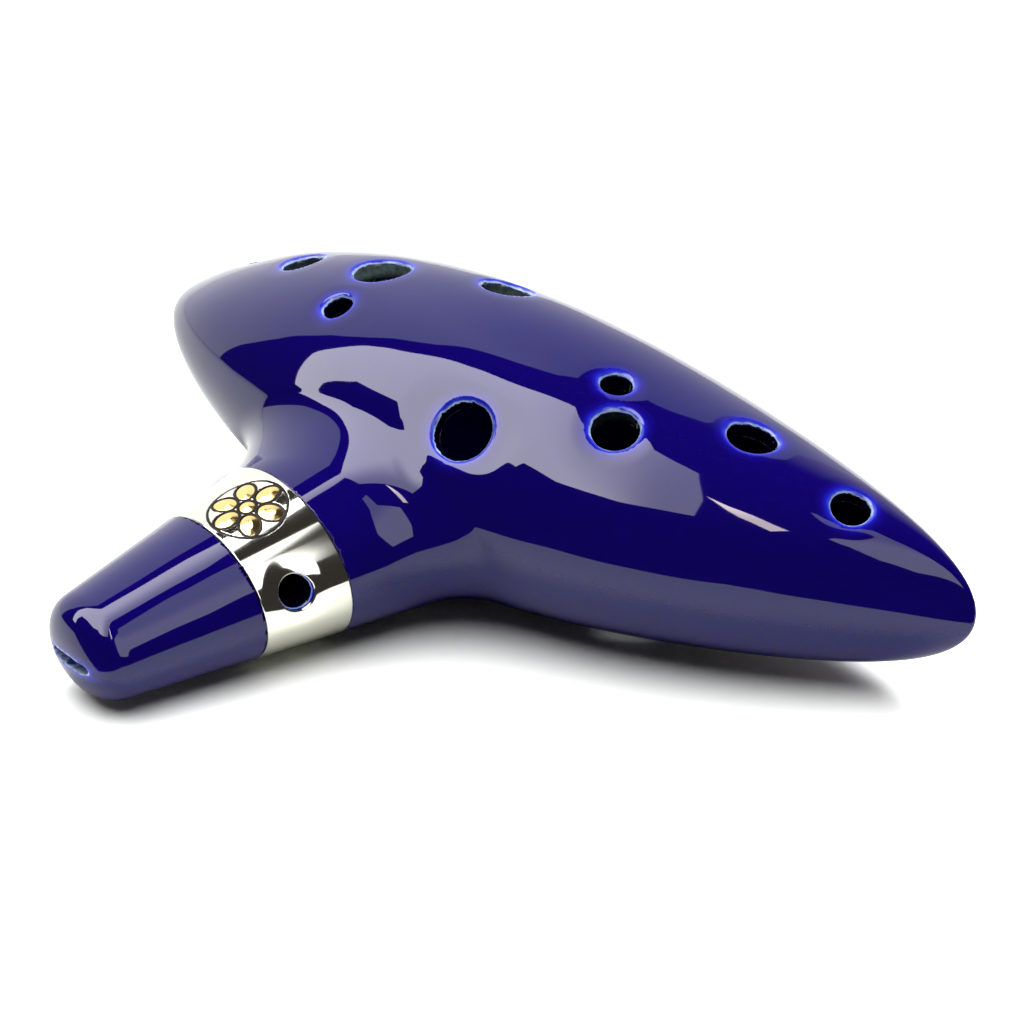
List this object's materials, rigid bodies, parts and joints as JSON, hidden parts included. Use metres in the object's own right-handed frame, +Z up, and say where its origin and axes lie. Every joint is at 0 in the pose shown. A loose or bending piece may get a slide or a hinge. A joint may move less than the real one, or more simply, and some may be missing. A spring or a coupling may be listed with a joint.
{
  "type": "ocarina",
  "caption": "Transverse vessel flute in glossy blue glazed clay, with a side mouthpiece, a metal collar with a flower inlay, finger holes and a strap hole.",
  "frame": {"origin": "bottom centre of the whole instrument as it lies on its belly and mouthpiece, finger holes up", "axes": "+X along the vessel towards the tail, -Y towards the player (mouthpiece), +Z up"},
  "size_m": [0.1796, 0.1194, 0.0533],
  "materials": {
    "cobalt_glaze": "gloss",
    "silver": "polished",
    "gold": "polished",
    "dark_line": "gloss"
  },
  "bodies": {
    "root": {"upper_shell": "cobalt_glaze", "lower_shell": "cobalt_glaze", "mouthpiece_roof": "cobalt_glaze", "mouthpiece_floor": "cobalt_glaze", "collar": "silver", "emblem_outline": "dark_line", "emblem_boss": "gold", "emblem_petal_1": "gold", "emblem_petal_2": "gold", "emblem_petal_3": "gold", "emblem_petal_4": "gold", "emblem_petal_5": "gold", "emblem_petal_6": "gold"}
  },
  "joints": []
}
